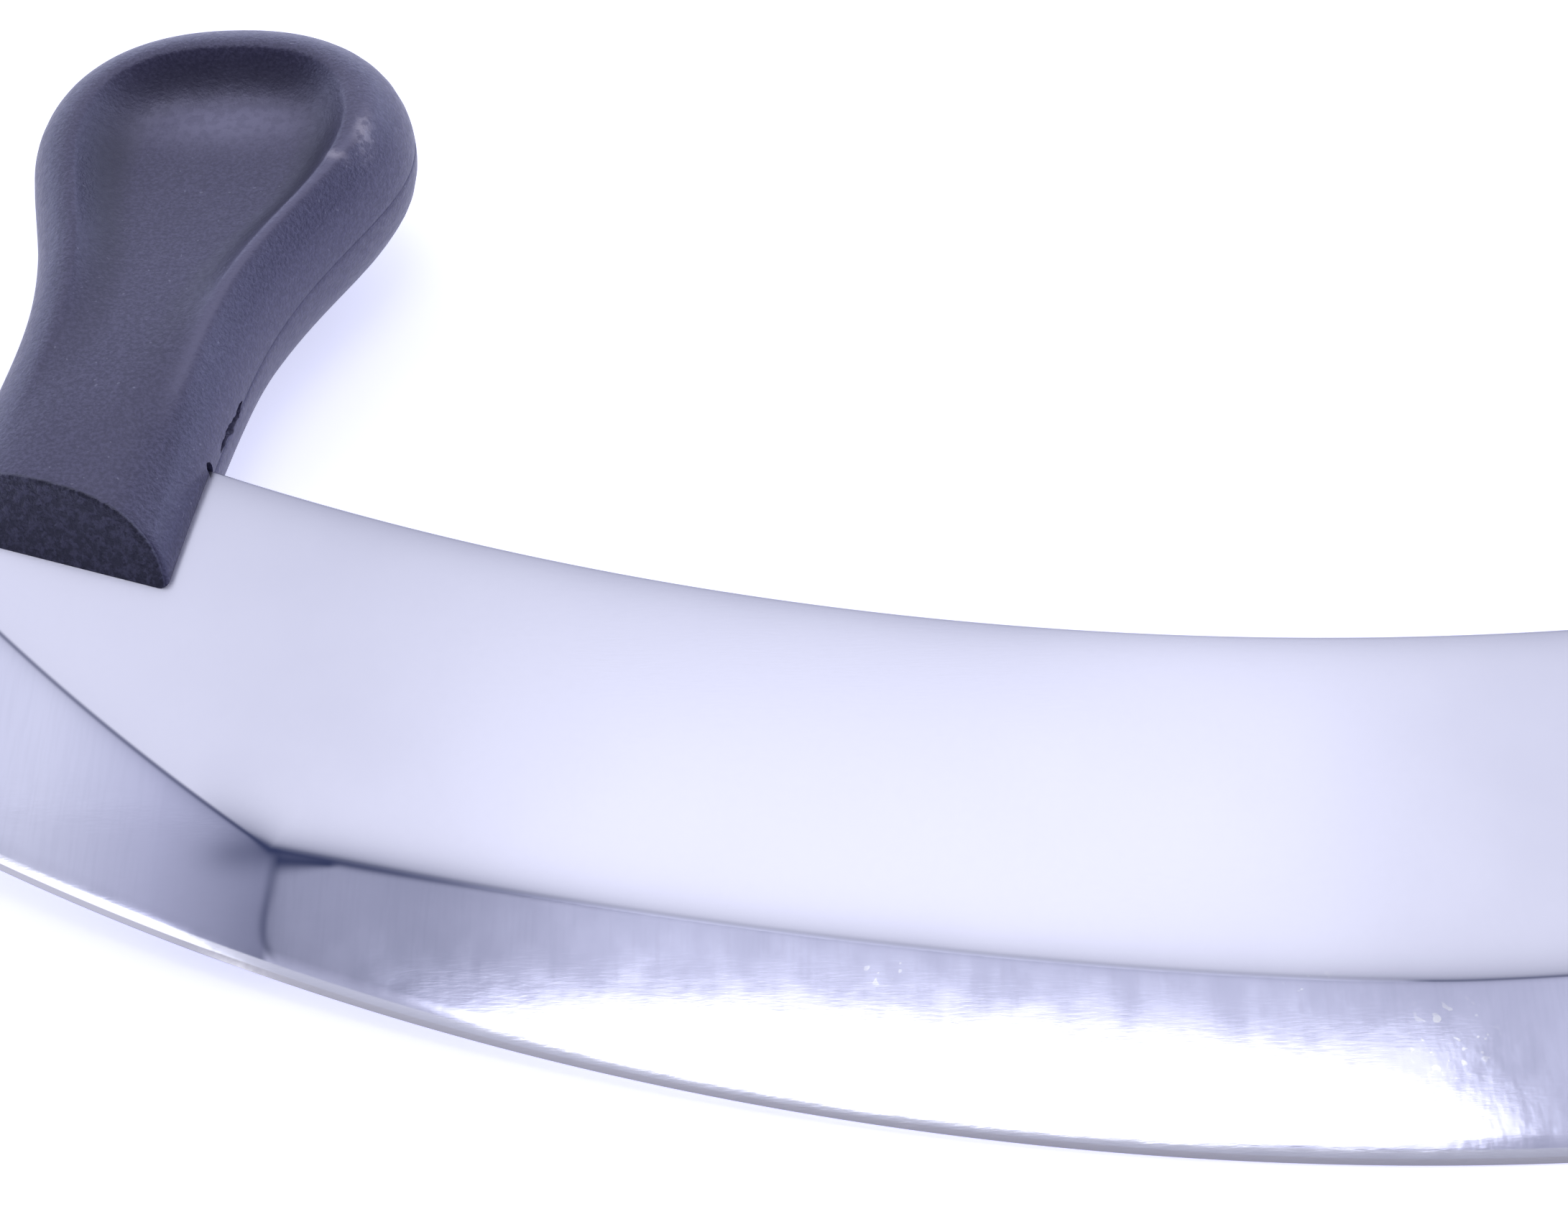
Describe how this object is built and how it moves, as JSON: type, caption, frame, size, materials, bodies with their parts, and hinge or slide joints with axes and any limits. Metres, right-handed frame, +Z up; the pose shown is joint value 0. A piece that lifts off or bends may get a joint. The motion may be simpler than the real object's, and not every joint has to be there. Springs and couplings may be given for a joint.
{
  "type": "mezzaluna",
  "caption": "Two-handled rocking knife: a crescent steel blade, ground along its curved edge, with an upright dished plastic handle moulded on at each end.",
  "frame": {"origin": "on the table under the middle of the knife as it lies at rest", "axes": "+X along the blade's chord to the right, +Y from the cutting edge towards the handles' tops, +Z up from the table; the knife's own plane is tilted about 7 degrees about X, edge down, because it rests on its edge and on both handles' feet"},
  "size_m": [0.2698, 0.1154, 0.0215],
  "materials": {
    "satin_steel": "satin ground flats with finer ground bevels",
    "charcoal_plastic": "matte, finely textured by the mould"
  },
  "bodies": {
    "root": {"blade": "satin_steel", "left_handle": "charcoal_plastic", "right_handle": "charcoal_plastic"}
  },
  "joints": []
}
